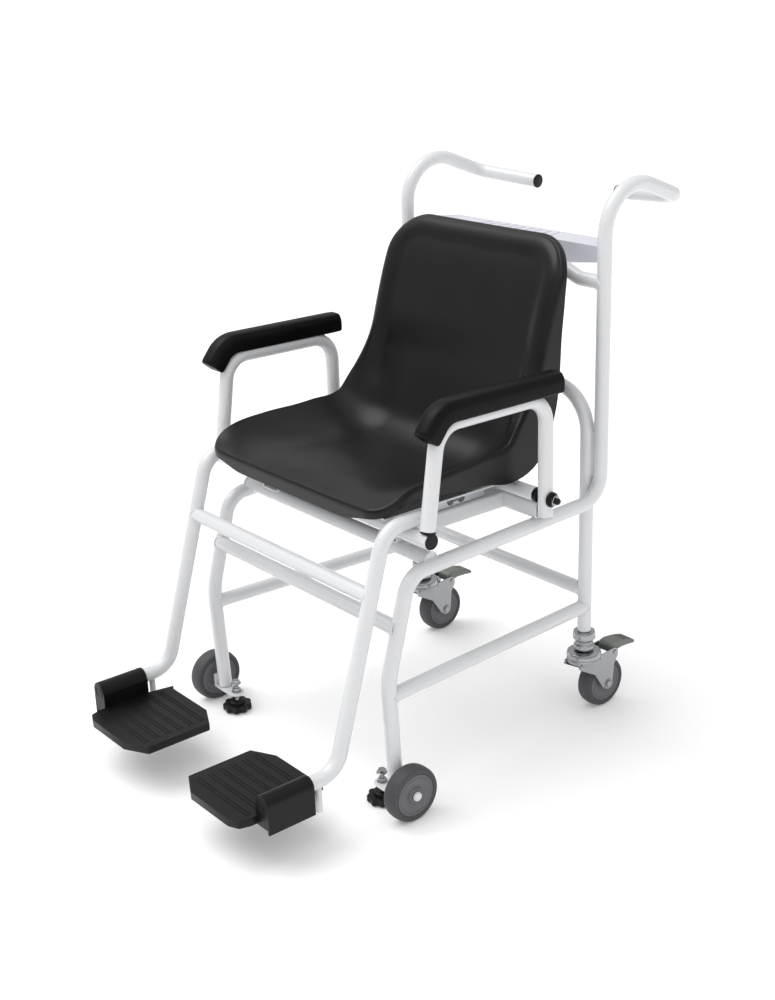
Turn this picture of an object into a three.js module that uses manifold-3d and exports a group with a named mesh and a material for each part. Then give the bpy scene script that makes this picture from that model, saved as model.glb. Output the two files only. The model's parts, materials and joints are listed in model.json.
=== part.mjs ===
// Mobile chair scale: a wheeled tube frame that carries a weighed seat, two flip-back armrests,
// two folding footplates and a weight indicator. Millimetres, +Z up, the occupant faces -Y, the
// occupant's left is +X, and the floor is z = 0.
import * as THREE from 'three';
import { mergeVertices } from 'three/addons/utils/BufferGeometryUtils.js';
import Module from 'manifold-3d';

const wasm = await Module();
wasm.setup();

// ---------- driving dimensions ----------
const GAP = 0.3;
const TUBE_R = 12.7;
const TUBE_SIDES = 12;
const ARC_STEP = THREE.MathUtils.degToRad(15);

const SIDE_X = 256.5;
const LEG_FOOT = { y: -477.5, z: 38.5 };
const LEG_KNEE = { y: -486, z: 240, bend: 150 };
const LEG_TOP = { y: -437.6, z: 412, bend: 46 };
const RAIL_REAR = { y: 3.6, z: 430, bend: 50 };
const HANDLE_TOP = { z: 1006.7, bend: 80 };
const HANDLE_BACK = { y: 191.4, z: 937, bend: 33 };
const HANDLE_END = { x: 105, y: 202, z: 929 };

const HOOP = { x: 230.8, y: -4.4, foot: 166, top: 621, bend: 75 };
const UPPER_CROSS = { y: -391, z: 425 };
const LOWER_CROSS = { y: -464.6, z: 327 };
const LOWER_RAIL = { frontY: -482.6, frontZ: 213, rearZ: 215 };
const REAR_CROSS_Z = 246;

const CARRIER = { z: 814, cornerX: 200, topX: 112, topZ: 845 };
const CONSOLE = { x: 234, front: 18, rear: 76, low: 828, end: 843, top: 870, wall: 2.5, taper: 0.16 };

const SUBFRAME = { low: 438.2, high: 466.6, outer: 190, inner: 144, front: -407, rear: -168 };
const REAR_MEMBER = { x: 268, front: -167.6, back: -140 };
const CELL = { x: 167, width: 30, front: -335, rear: -205, low: 467, high: 488.8 };
const SEAT_RAIL = { inner: 138, outer: 204, front: -440, rear: -180, low: 489.2, high: 493 };
const FRONT_TUBE = { y: -423, z: 476, x: 296 };
const PIVOT = { y: -166.5, z: 483, x: 268, r: 12.4 };

const ARM_X = 290;
const ARM = { frontY: -424.6, frontZ: 493.5, cornerY: -399.3, topZ: 658, rearZ: 449, bend: 45 };
const PAD = { inner: 276.5, outer: 317, low: 666, high: 701, front: -441, rear: -145 };

const FOOT_X = 254;
const FOOTREST = { rearY: -404, topZ: 502, cornerY: -481, lowY: -596, lowZ: 118, endY: -734 };
const FOOT_CROSS = { y: -512.5, z: 396 };
const PLATE = { inner: 63, outer: 237, front: -775, rear: -610, top: 92, low: 78 };
const BARREL = { r: 16.6, bore: 13.1, front: -738, rear: -650 };

const WHEEL = { r: 48, width: 30, hubR: 36.5, bore: 4.3 };
const FRONT_WHEEL = { x: 292, y: -476 };
const LEVELLER = { x: 219.4, y: -477.4, screwR: 4, headZ: 53 };
const CASTOR = {
  trail: 45.4, ringR: 32, ringLow: 104, ringHigh: 127, plate: 3, inner: 19,
  pin: { y: 62, z: 108 },
};

const SEAT = { pan: 233, back: 223, flare: 12, frontCorner: 40, topCorner: 80, thick: 4.5, lip: 6 };

// ---------- materials ----------
function paint(color, roughness, metalness = 0) {
  return new THREE.MeshStandardMaterial({ color, roughness, metalness });
}
const WHITE = () => paint(0xf2f2f2, 0.3);
const LILAC = () => paint(0xdcdce4, 0.45);
const BLACK = () => paint(0x17181a, 0.5);
const SHELL = () => paint(0x202225, 0.4);
const TYRE = () => paint(0x4c4c4e, 0.7);
const HUB = () => paint(0x67676b, 0.5);
const STEEL = () => paint(0xc4c4c6, 0.25, 1);
const PEDAL = () => paint(0x6c706c, 0.5, 0.3);
const ALUMINIUM = () => paint(0xb9bbbf, 0.4, 1);
const GLASS = () => paint(0x7d8a78, 0.2);
const BOARD = () => paint(0x1f6b3c, 0.6);

// ---------- solids ----------
function bareCopy(geometry) {
  const copy = geometry.clone();
  copy.deleteAttribute('normal');
  copy.deleteAttribute('uv');
  return copy;
}

function solidOf(geometry) {
  const merged = mergeVertices(bareCopy(geometry), 1e-4);
  const vertProperties = new Float32Array(merged.attributes.position.array);
  const triVerts = new Uint32Array(merged.index.array);
  return new wasm.Manifold(new wasm.Mesh({ numProp: 3, vertProperties, triVerts }));
}

function geometryOf(solid) {
  const mesh = solid.getMesh();
  const geometry = new THREE.BufferGeometry();
  const positions = new Float32Array(mesh.vertProperties);
  geometry.setAttribute('position', new THREE.BufferAttribute(positions, 3));
  geometry.setIndex(new THREE.BufferAttribute(new Uint32Array(mesh.triVerts), 1));
  return geometry;
}

function join(...geometries) {
  return geometryOf(geometries.map(solidOf).reduce((a, b) => a.add(b)));
}

function cut(body, ...tools) {
  return geometryOf(tools.map(solidOf).reduce((a, b) => a.subtract(b), solidOf(body)));
}

function mirrorX(geometry) {
  const copy = mergeVertices(bareCopy(geometry), 1e-4);
  copy.scale(-1, 1, 1);
  const index = copy.index.array;
  for (let i = 0; i < index.length; i += 3) {
    [index[i], index[i + 1]] = [index[i + 1], index[i]];
  }
  return copy;
}

function box(x0, x1, y0, y1, z0, z1) {
  const geometry = new THREE.BoxGeometry(x1 - x0, y1 - y0, z1 - z0);
  return geometry.translate((x0 + x1) / 2, (y0 + y1) / 2, (z0 + z1) / 2);
}

// A ring or disc turned about the axis, given as [radius, height] corners from the low end up.
function turned(profile, axis, sides) {
  const points = profile.map(([r, h]) => new THREE.Vector2(r, h));
  const geometry = new THREE.LatheGeometry(points, sides);
  if (axis === 'x') geometry.rotateZ(-Math.PI / 2);
  if (axis === 'z') geometry.rotateX(Math.PI / 2);
  return geometry;
}

function rod(r, from, to, axis, sides = 16) {
  return turned([[0, from], [r, from], [r, to], [0, to]], axis, sides);
}

// A flat outline of [a, b] corners pulled along the third axis.
function prism(outline, plane, from, to) {
  const shape = new THREE.Shape(outline.map(([a, b]) => new THREE.Vector2(a, b)));
  const geometry = new THREE.ExtrudeGeometry(shape, { depth: to - from, bevelEnabled: false });
  geometry.translate(0, 0, from);
  if (plane === 'yz') geometry.applyMatrix4(new THREE.Matrix4().set(
    0, 0, 1, 0, 1, 0, 0, 0, 0, 1, 0, 0, 0, 0, 0, 1));
  return geometry;
}

// ---------- bent tubes ----------
// A line of straight runs joined by round bends, with a station at each end of a run and at
// each step of a bend.
class BentPath extends THREE.Curve {
  constructor(corners, bends) {
    super();
    this.stations = [];
    corners.forEach((corner, i) => {
      const point = new THREE.Vector3(...corner);
      const before = corners[i - 1] && new THREE.Vector3(...corners[i - 1]);
      const after = corners[i + 1] && new THREE.Vector3(...corners[i + 1]);
      if (!before) this.addStation(point, after.clone().sub(point));
      else if (!after) this.addStation(point, point.clone().sub(before));
      else this.addBend(before, point, after, bends[i - 1]);
    });
  }

  addStation(point, tangent) {
    this.stations.push({ point, tangent: tangent.clone().normalize() });
  }

  addBend(before, corner, after, radius) {
    const into = corner.clone().sub(before).normalize();
    const out = after.clone().sub(corner).normalize();
    const turn = into.angleTo(out);
    const axis = into.clone().cross(out).normalize();
    const start = corner.clone().addScaledVector(into, -radius * Math.tan(turn / 2));
    const centre = start.clone().addScaledVector(axis.clone().cross(into), radius);
    const steps = Math.max(2, Math.ceil(turn / ARC_STEP));
    for (let i = 0; i <= steps; i++) {
      const arm = start.clone().sub(centre).applyAxisAngle(axis, (turn * i) / steps);
      const tangent = into.clone().applyAxisAngle(axis, (turn * i) / steps);
      this.addStation(arm.add(centre), tangent);
    }
  }

  get steps() {
    return this.stations.length - 1;
  }

  getUtoTmapping(u) {
    return u;
  }

  getPoint(t) {
    return this.stations[Math.round(t * this.steps)].point.clone();
  }

  getTangent(t) {
    return this.stations[Math.round(t * this.steps)].tangent.clone();
  }
}

function tube(corners, bends = [], radius = TUBE_R, sides = TUBE_SIDES) {
  const path = new BentPath(corners, bends);
  const ring = [];
  for (let i = 0; i < sides; i++) {
    const angle = ((i + 0.5) / sides) * 2 * Math.PI;
    ring.push(new THREE.Vector2(radius * Math.cos(angle), radius * Math.sin(angle)));
  }
  const settings = { steps: path.steps, extrudePath: path, bevelEnabled: false };
  return new THREE.ExtrudeGeometry(new THREE.Shape(ring), settings);
}

// ---------- carriage ----------
function sideTube(s) {
  const x = s * SIDE_X;
  return tube([
    [x, LEG_FOOT.y, LEG_FOOT.z],
    [x, LEG_KNEE.y, LEG_KNEE.z],
    [x, LEG_TOP.y, LEG_TOP.z],
    [x, RAIL_REAR.y, RAIL_REAR.z],
    [x, RAIL_REAR.y, HANDLE_TOP.z],
    [x, HANDLE_BACK.y, HANDLE_BACK.z],
    [s * HANDLE_END.x, HANDLE_END.y, HANDLE_END.z],
  ], [LEG_KNEE.bend, LEG_TOP.bend, RAIL_REAR.bend, HANDLE_TOP.bend, HANDLE_BACK.bend]);
}

function handleCap() {
  const outer = 13;
  const cap = turned([[0, 0], [outer, 0], [outer, 2], [outer - 1, 3], [0, 3]], 'z', 20);
  const end = new THREE.Vector3(HANDLE_END.x, HANDLE_END.y, HANDLE_END.z);
  const corner = new THREE.Vector3(SIDE_X, HANDLE_BACK.y, HANDLE_BACK.z);
  const inward = end.clone().sub(corner).normalize();
  const up = new THREE.Vector3(0, 0, 1);
  cap.applyQuaternion(new THREE.Quaternion().setFromUnitVectors(up, inward));
  end.addScaledVector(inward, GAP);
  return cap.translate(end.x, end.y, end.z);
}

function rearHoop() {
  const { x, y, foot, top, bend } = HOOP;
  return tube([[x, y, foot], [x, y, top], [-x, y, top], [-x, y, foot]], [bend, bend]);
}

function crossTube(half, y, z, r = TUBE_R) {
  return tube([[-half, y, z], [half, y, z]], [], r);
}

function lowerRail(s) {
  const reach = TUBE_R + 2 * GAP;
  return tube([
    [s * SIDE_X, LOWER_RAIL.frontY + reach, LOWER_RAIL.frontZ],
    [s * HOOP.x, HOOP.y - reach, LOWER_RAIL.rearZ],
  ]);
}

function indicatorCarrier() {
  const { z, cornerX, topX, topZ } = CARRIER;
  const y = RAIL_REAR.y;
  const end = SIDE_X - TUBE_R - GAP;
  return tube([
    [end, y, z], [cornerX, y, z], [topX, y, topZ], [-topX, y, topZ], [-cornerX, y, z], [-end, y, z],
  ], [38, 60, 60, 38]);
}

// The bracket for the foot and the wheel: a floor plate under the leg, rounded about the screw,
// and a lug outboard of the leg that carries the wheel's axle and its bolt head.
function footBracket() {
  const low = 33;
  const high = LEG_FOOT.z - 1;
  const half = 14;
  const lugX = SIDE_X + TUBE_R + GAP;
  const { x, y } = LEVELLER;
  const outline = [[lugX + 4, y - half], [lugX + 4, y + half]];
  for (let i = 0; i <= 8; i++) {
    const angle = Math.PI / 2 + (Math.PI * i) / 8;
    outline.push([x + half * Math.cos(angle), y + half * Math.sin(angle)]);
  }
  const plate = prism(outline, 'xy', low, high);
  const lug = box(lugX, lugX + 4, y - half, y + half, low, WHEEL.r + 11);
  const { x: wheelX, y: wheelY } = FRONT_WHEEL;
  const outer = wheelX + WHEEL.width / 2;
  const axle = turned([
    [0, lugX + 2], [WHEEL.bore - GAP, lugX + 2], [WHEEL.bore - GAP, outer + 1],
    [8, outer + 1], [8, outer + 4], [6.5, outer + 6], [0, outer + 6],
  ], 'x', 16).translate(0, wheelY, WHEEL.r);
  const hole = rod(LEVELLER.screwR + GAP, low - 1, high + 1, 'z').translate(x, y, 0);
  return cut(join(plate, lug, axle), hole);
}

function levellingSpindle() {
  const { screwR, headZ } = LEVELLER;
  const flare = 9.5;
  return turned([
    [0, 12], [screwR, 12], [screwR, headZ], [flare, headZ + 1.5], [flare, headZ + 3],
    [7, headZ + 4], [7, headZ + 8.5], [0, headZ + 8.5],
  ], 'z', 16).translate(LEVELLER.x, LEVELLER.y, 0);
}

// A scalloped knob with nine lobes that stands on the floor.
function levellingFoot() {
  const lobes = 9;
  const outline = [];
  for (let i = 0; i < lobes * 4; i++) {
    const angle = (2 * Math.PI * i) / (lobes * 4);
    const r = 25.5 + 2 * Math.cos(lobes * angle);
    outline.push([r * Math.cos(angle), r * Math.sin(angle)]);
  }
  const knob = prism(outline, 'xy', 2, 15);
  const neck = rod(15, 14, 21, 'z', 18);
  const sole = rod(20, 0, 3, 'z', 18);
  const bore = rod(LEVELLER.screwR + GAP, 12 - GAP, 22, 'z');
  return cut(join(knob, neck, sole), bore).translate(LEVELLER.x, LEVELLER.y, 0);
}

function subframeBeam() {
  const { low, high, outer, inner, front, rear } = SUBFRAME;
  return box(inner, outer, front, rear - GAP, low, high);
}

function rearMember() {
  const { x, front, back } = REAR_MEMBER;
  return box(-x, x, front, back, SUBFRAME.low, SUBFRAME.high);
}

// A bending-beam load cell: a bar with two round holes that meet in a thin-walled waist.
function loadCell() {
  const { x, width, front, rear, low, high } = CELL;
  const bar = box(x - width / 2, x + width / 2, front, rear, low, high);
  const middle = (front + rear) / 2;
  const mid = (low + high) / 2;
  const holes = [-12, 12].map((shift) =>
    rod(8, x - width, x + width, 'x', 14).translate(0, middle + shift, mid));
  const slot = box(x - width, x + width, middle - 12, middle + 12, mid - 3, mid + 3);
  return cut(bar, ...holes, slot);
}

// ---------- weighed frame ----------
function footrestTube(s) {
  const x = s * FOOT_X;
  const { rearY, topZ, cornerY, lowY, lowZ, endY } = FOOTREST;
  const body = tube([
    [x, rearY, topZ], [x, cornerY, topZ], [x, lowY, lowZ], [x, endY, lowZ],
  ], [50, 46]);
  const stub = rod(5.5, 62, lowZ, 'z', 12).translate(x, lowY - 36, 0);
  return join(body, stub);
}

function armStopCap() {
  const { x, y, z } = FRONT_TUBE;
  const edge = x + GAP;
  const disc = turned([[0, edge], [13, edge], [13, edge + 2], [12, edge + 3], [0, edge + 3]], 'x', 20)
    .translate(0, y, z);
  const top = ARM.frontZ - 2.3;
  const saddle = box(x - 16, edge + 2, y - 8, y + 8, z + TUBE_R + GAP, top);
  const web = box(edge, edge + 2, y - 8, y + 8, z + 8, z + TUBE_R + 2);
  return join(disc, web, saddle);
}

// Bush, bolt, washer, nut and bolt end of the armrest's pivot, all fixed to the pivot tube.
function pivotBolt() {
  const bush = PIVOT.x + GAP;
  const armIn = ARM_X - TUBE_R - GAP;
  const armOut = ARM_X + TUBE_R + GAP;
  return turned([
    [0, bush], [13, bush], [13, armIn], [5, armIn], [5, armOut], [13, armOut], [13, armOut + 5],
    [9.5, armOut + 5], [9.5, armOut + 14], [5, armOut + 14], [4, armOut + 20], [0, armOut + 20],
  ], 'x', 18).translate(0, PIVOT.y, PIVOT.z);
}

// ---------- seat ----------
// The centre line of the sitting surface, from the front edge to the top of the back.
const SEAT_LINE = new THREE.CatmullRomCurve3([
  [-480, 522], [-440, 525], [-350, 519], [-260, 511], [-200, 513], [-162, 538], [-140, 590],
  [-120, 670], [-97, 760], [-71, 834], [-41, 889],
].map(([y, z]) => new THREE.Vector3(0, y, z)));
const SEAT_LENGTH = SEAT_LINE.getLength();

// A value that changes along the seat line, given at even steps from its front to its top.
function along(t, values) {
  const place = t * (values.length - 1);
  const i = Math.min(Math.floor(place), values.length - 2);
  return THREE.MathUtils.lerp(values[i], values[i + 1], THREE.MathUtils.smoothstep(place - i, 0, 1));
}
const RIM_RISE = [4, 26, 37, 45, 53, 53, 44, 26, 10, 6, 5, 4, 4];
const LIP_DEPTH = [28, 20, 32, 41, 52, 68, 84, 72, 52, 38, 27, 14, 12];

// The lip is shallower round the front corners, where the footrest tubes pass below it.
function lipDepth(point, t) {
  const corner = THREE.MathUtils.smoothstep(Math.abs(point.x), 140, 220);
  const front = 1 - THREE.MathUtils.smoothstep(t, 0, 0.09);
  return along(t, LIP_DEPTH) * (1 - 0.42 * corner * front);
}

// Point, base normal and rise of the seat at u across (-1 to 1) and v along (0 to 1), with the
// corners of the square rounded.
function seatFrame(u, v) {
  let s = v * SEAT_LENGTH;
  let half = THREE.MathUtils.lerp(SEAT.pan, SEAT.back, THREE.MathUtils.smoothstep(v, 0.4, 0.7));
  half += SEAT.flare * (1 - THREE.MathUtils.smoothstep(v, 0.1, 0.4));
  const corner = v < 0.5 ? SEAT.frontCorner : SEAT.topCorner;
  let x = Math.abs(u) * half;
  const far = Math.max(corner - s, s - (SEAT_LENGTH - corner), 0) / corner;
  const wide = Math.max(x - (half - corner), 0) / corner;
  if (far > 0 && wide > 0) {
    x = half - corner + corner * wide * Math.sqrt(1 - far * far / 2);
    const shift = corner * (far - far * Math.sqrt(1 - wide * wide / 2));
    s += s < SEAT_LENGTH / 2 ? shift : -shift;
  }
  const t = s / SEAT_LENGTH;
  const tangent = SEAT_LINE.getTangentAt(t);
  const normal = new THREE.Vector3(0, -tangent.z, tangent.y);
  const upper = THREE.MathUtils.smoothstep(t, 0.5, 0.65);
  const sideways = Math.max(x - half + SEAT.topCorner, 0);
  const edge = SEAT.topCorner - Math.hypot(sideways, Math.max(s - SEAT_LENGTH + SEAT.topCorner, 0));
  const band = THREE.MathUtils.smoothstep(30 - edge, 0, 20);
  const bowl = THREE.MathUtils.lerp(Math.max(0, (x / half - 0.5) / 0.5) ** 2, band, upper);
  const point = SEAT_LINE.getPointAt(t).addScaledVector(normal, along(t, RIM_RISE) * bowl);
  point.x = Math.sign(u) * x;
  return { point, normal, t };
}

// One skin of the shell: a grid over the seat, then two rings that turn down as its lip.
function seatSkin(across, lengthwise) {
  const points = [];
  const faces = [];
  const at = (i, j) => j * (across + 1) + i;
  for (let j = 0; j <= lengthwise; j++) {
    for (let i = 0; i <= across; i++) {
      const u = Math.sin((Math.PI / 2) * ((2 * i) / across - 1));
      points.push(seatFrame(u, 0.5 - 0.5 * Math.cos((Math.PI * j) / lengthwise)));
    }
  }
  for (let j = 0; j < lengthwise; j++) {
    for (let i = 0; i < across; i++) {
      faces.push([at(i, j), at(i + 1, j), at(i + 1, j + 1)], [at(i, j), at(i + 1, j + 1), at(i, j + 1)]);
    }
  }
  let ring = [];
  for (let i = 0; i < across; i++) ring.push(at(i, 0));
  for (let j = 0; j < lengthwise; j++) ring.push(at(across, j));
  for (let i = across; i > 0; i--) ring.push(at(i, lengthwise));
  for (let j = lengthwise; j > 0; j--) ring.push(at(0, j));
  const rim = ring.map((k) => points[k]);
  const outward = rim.map((p, k) => {
    const next = rim[(k + 1) % rim.length].point;
    const last = rim[(k + rim.length - 1) % rim.length].point;
    return next.clone().sub(last).cross(p.normal).normalize();
  });
  [[0.7, 0.14], [1, 1]].forEach(([out, down]) => {
    const fresh = rim.map((p, k) => {
      const point = p.point.clone().addScaledVector(outward[k], out * SEAT.lip);
      point.addScaledVector(p.normal, -down * lipDepth(p.point, p.t));
      return points.push({ point }) - 1;
    });
    ring.forEach((a, k) => {
      const b = ring[(k + 1) % ring.length];
      const c = fresh[(k + 1) % ring.length];
      faces.push([a, fresh[k], c], [a, c, b]);
    });
    ring = fresh;
  });
  return { points: points.map((p) => p.point), faces, edge: ring };
}

function seatShell() {
  const { points, faces, edge } = seatSkin(14, 26);
  const skin = new THREE.BufferGeometry().setFromPoints(points);
  skin.setIndex(faces.flat());
  skin.computeVertexNormals();
  const normals = skin.attributes.normal;
  const inner = points.map((p, i) =>
    p.clone().addScaledVector(new THREE.Vector3().fromBufferAttribute(normals, i), -SEAT.thick));
  const n = points.length;
  const back = faces.map(([a, b, c]) => [n + a, n + c, n + b]);
  const wall = edge.flatMap((a, k) => {
    const b = edge[(k + 1) % edge.length];
    return [[a, n + a, n + b], [a, n + b, b]];
  });
  const shell = new THREE.BufferGeometry().setFromPoints([...points, ...inner]);
  return shell.setIndex([...faces, ...back, ...wall].flat());
}

// A seat rail: a flat strip on the front tube with two bosses up to the underside of the pan.
function seatRail() {
  const { inner, outer, front, rear, low, high } = SEAT_RAIL;
  const strip = box(inner, outer, front, rear, low, high);
  const bosses = [-400, -230].map((y) => rod(9, low + 1, 502, 'z', 14).translate(inner + 16, y, 0));
  return join(strip, ...bosses);
}

// ---------- armrest ----------
function armPath(s) {
  const x = s * ARM_X;
  return [
    [x, ARM.frontY, ARM.frontZ], [x, ARM.cornerY, ARM.topZ], [x, PIVOT.y, ARM.topZ],
    [x, PIVOT.y, ARM.rearZ],
  ];
}

function armTube() {
  const body = tube(armPath(1), [ARM.bend, ARM.bend]);
  const hole = rod(5 + GAP, ARM_X - 2 * TUBE_R, ARM_X + 2 * TUBE_R, 'x', 16);
  return cut(body, hole.translate(0, PIVOT.y, PIVOT.z));
}

// The pad sits over the tube's top run and droops over its front bend.
function armPad() {
  const { inner, outer, low, high, front, rear } = PAD;
  const outline = [
    [rear, low + 4], [rear, high - 16], [rear - 26, high], [-392, high], [-412, high - 7],
    [front + 3, 671], [front, 657], [front + 14, 636], [front + 32, 631], [-398, 655], [-384, low],
  ];
  const block = prism(outline, 'yz', inner, outer);
  const groove = tube(armPath(1), [ARM.bend, ARM.bend], TUBE_R + 2 * GAP);
  return cut(block, groove);
}

// ---------- footplate ----------
function footplate() {
  const { inner, outer, front, rear, top, low } = PLATE;
  const outline = [
    [inner, -752], [107, front], [212, front], [231, front + 8], [outer, front + 26],
    [outer, BARREL.rear], [228, rear + 6], [218, rear], [107, rear], [inner, -632],
  ];
  const plate = prism(outline, 'xy', low, top);
  const side = FOOT_X + BARREL.r;
  const z = FOOTREST.lowZ;
  const block = box(outer - 1, side, BARREL.front, BARREL.rear, low, z);
  const barrel = rod(BARREL.r, -BARREL.rear, -BARREL.front, 'x', 24);
  barrel.applyMatrix4(new THREE.Matrix4().makeRotationZ(-Math.PI / 2)).translate(FOOT_X, 0, z);
  const bore = rod(BARREL.bore, -BARREL.rear - 5, -FOOTREST.endY + 1.5, 'x', 20);
  bore.applyMatrix4(new THREE.Matrix4().makeRotationZ(-Math.PI / 2)).translate(FOOT_X, 0, z);
  const flap = box(side - 4, side, BARREL.front, BARREL.rear, 71, z);
  return cut(join(plate, block, barrel, flap), bore);
}

// ---------- wheels ----------
function tyre() {
  const { r, width, hubR } = WHEEL;
  const h = width / 2;
  return turned([
    [hubR + GAP, -h], [r - 5, -h], [r, -h + 6], [r, h - 6], [r - 5, h], [hubR + GAP, h],
    [hubR + GAP, -h],
  ], 'x', 36);
}

function hub() {
  const { width, hubR, bore } = WHEEL;
  const h = width / 2;
  return turned([
    [bore, -h - 0.6], [12, -h - 0.6], [14, -h + 5], [hubR - 6, -h + 5], [hubR - 3, -h + 1],
    [hubR, -h + 1], [hubR, h - 1], [hubR - 3, h - 1], [hubR - 6, h - 3], [14, h - 3],
    [12, h + 0.6], [bore, h + 0.6], [bore, -h - 0.6],
  ], 'x', 20);
}

// ---------- castor ----------
const CASTOR_AXLE = { y: HOOP.y + CASTOR.trail, z: WHEEL.r };

function castorStem() {
  const top = HOOP.foot - GAP;
  return turned([
    [0, 112], [5, 112], [5, 129], [17, 129], [19, 131], [19, 140], [15, 142], [15, 149],
    [19.5, 150], [20.5, 152], [20.5, top - 2], [19, top], [0, top],
  ], 'z', 24).translate(HOOP.x, HOOP.y, 0);
}

function castorFork() {
  const { ringR, ringLow, ringHigh, plate, inner, trail, pin } = CASTOR;
  const ring = turned([
    [5 + GAP, ringLow], [ringR - 3, ringLow], [ringR, ringLow + 3], [ringR, ringHigh - 6],
    [ringR - 4, ringHigh], [5 + GAP, ringHigh], [5 + GAP, ringLow],
  ], 'z', 28);
  const outline = [[-29, ringLow + 4], [-31, ringLow - 4], [8, 78], [trail - 13, WHEEL.r - 8]];
  for (let i = 0; i <= 4; i++) {
    const angle = Math.PI * (1.15 + 0.2 * i);
    outline.push([trail + 11 * Math.cos(angle), WHEEL.r + 11 * Math.sin(angle)]);
  }
  outline.push([trail + 15, 84], [pin.y + 8, pin.z - 8], [pin.y + 8, pin.z + 5]);
  outline.push([pin.y, pin.z + 9], [20, ringLow + 9]);
  const cheeks = [-inner - plate, inner].map((x) => prism(outline, 'yz', x, x + plate));
  const crown = box(-inner - 1, inner + 1, -24, 24, ringLow - 3, ringLow + 4);
  const end = inner + plate;
  const axle = turned([
    [0, -end - 4], [7, -end - 4], [8, -end - 1], [8, -end + 1], [4, -end + 1], [4, end - 1],
    [8, end - 1], [8, end + 1], [7, end + 4], [0, end + 4],
  ], 'x', 16).translate(0, trail, WHEEL.r);
  return join(ring, ...cheeks, crown, axle).translate(HOOP.x, HOOP.y, 0);
}

function brakePedal() {
  const half = 16;
  const y = HOOP.y;
  const outline = [
    [y + 56, 105], [y + 64, 103], [y + 84, 108], [y + 120, 105], [y + 124, 108], [y + 119, 114],
    [y + 90, 122], [y + 68, 124], [y + 57, 119],
  ];
  const { pin, inner } = CASTOR;
  const plate = prism(outline, 'yz', -half, half);
  const pivot = rod(3.5, GAP - inner, inner - GAP, 'x', 12).translate(0, y + pin.y, pin.z);
  return join(plate, pivot).translate(HOOP.x, 0, 0);
}

// ---------- indicator ----------
// The housing is a wide tray, open at the rear, whose floor rises towards its ends. Ribs cross
// the middle of its roof.
function indicatorShell() {
  const { x, front, rear, low, end, top, wall } = CONSOLE;
  const outline = (inset) => [
    [-x + inset, end + inset], [-x / 2, low + inset], [x / 2, low + inset], [x - inset, end + inset],
    [x - inset, top - inset], [-x + inset, top - inset],
  ];
  const pull = (points, from, to) => {
    const solid = prism(points, 'xy', from, to);
    return solid.applyMatrix4(new THREE.Matrix4().set(
      1, 0, 0, 0, 0, 0, -1, 0, 0, 1, 0, 0, 0, 0, 0, 1));
  };
  const outer = pull(outline(0), -rear, -front);
  const hollow = pull(outline(wall), -rear - 5, -front - wall);
  const body = cut(outer, hollow);
  const ribs = [];
  for (let i = 0; i < 9; i++) {
    const middle = -100 + 25 * i;
    ribs.push(box(middle - 1.5, middle + 1.5, front + 8, rear - 8, top - 1, top + 1.5));
  }
  return tapered(join(body, ...ribs));
}

// The console is narrower at the rear than at the front.
function tapered(geometry) {
  const place = geometry.attributes.position;
  for (let i = 0; i < place.count; i++) {
    const back = (place.getY(i) - CONSOLE.front) / (CONSOLE.rear - CONSOLE.front);
    place.setX(i, place.getX(i) * (1 - CONSOLE.taper * back));
  }
  return geometry;
}

function indicatorFace() {
  const { x, rear, low, end, top } = CONSOLE;
  const from = rear + GAP;
  const shape = new THREE.Shape([
    [-x, end], [-x / 2, low], [x / 2, low], [x, end], [x, top], [-x, top],
  ].map(([a, b]) => new THREE.Vector2(a, b)));
  const window = [[-62, 838], [-62, 862], [52, 862], [52, 838]];
  shape.holes.push(new THREE.Path(window.map(([a, b]) => new THREE.Vector2(a, b))));
  const face = new THREE.ExtrudeGeometry(shape, { depth: 3, bevelEnabled: false });
  face.applyMatrix4(new THREE.Matrix4().set(1, 0, 0, 0, 0, 0, -1, from + 3, 0, 1, 0, 0, 0, 0, 0, 1));
  const keys = [76, 98, 120, 142].map((middle) =>
    box(middle - 8, middle + 8, from + 2, from + 3.6, 842, 858));
  return tapered(join(face, ...keys));
}

function indicatorBracket() {
  const y = RAIL_REAR.y + TUBE_R + GAP;
  return box(-70, 70, y, CONSOLE.front - GAP, 834, 862);
}

// ---------- assembly ----------
const scale = new THREE.Group();

function add(name, geometry, material) {
  const mesh = new THREE.Mesh(geometry, material);
  mesh.name = name;
  scale.add(mesh);
}

function addPair(name, geometry, material) {
  add(`${name}_left`, geometry, material());
  add(`${name}_right`, mirrorX(geometry), material());
}

for (const [side, s] of [['left', 1], ['right', -1]]) {
  add(`side_tube_${side}`, sideTube(s), WHITE());
  add(`lower_side_rail_${side}`, lowerRail(s), WHITE());
  add(`footrest_tube_${side}`, footrestTube(s), WHITE());
}
const betweenSides = SIDE_X - TUBE_R - GAP;
add('rear_hoop', rearHoop(), WHITE());
add('front_cross_tube_upper', crossTube(betweenSides, UPPER_CROSS.y, UPPER_CROSS.z), WHITE());
add('front_cross_tube_lower', crossTube(betweenSides, LOWER_CROSS.y, LOWER_CROSS.z), WHITE());
add('rear_cross_tube', crossTube(HOOP.x - TUBE_R - GAP, HOOP.y, REAR_CROSS_Z), WHITE());
add('subframe_rear_member', rearMember(), WHITE());
addPair('subframe_beam', subframeBeam(), WHITE);
addPair('handle_cap', handleCap(), BLACK);
addPair('foot_bracket', footBracket(), WHITE);
addPair('levelling_spindle', levellingSpindle(), STEEL);
addPair('levelling_foot', levellingFoot(), BLACK);
addPair('load_cell', loadCell(), ALUMINIUM);

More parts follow.
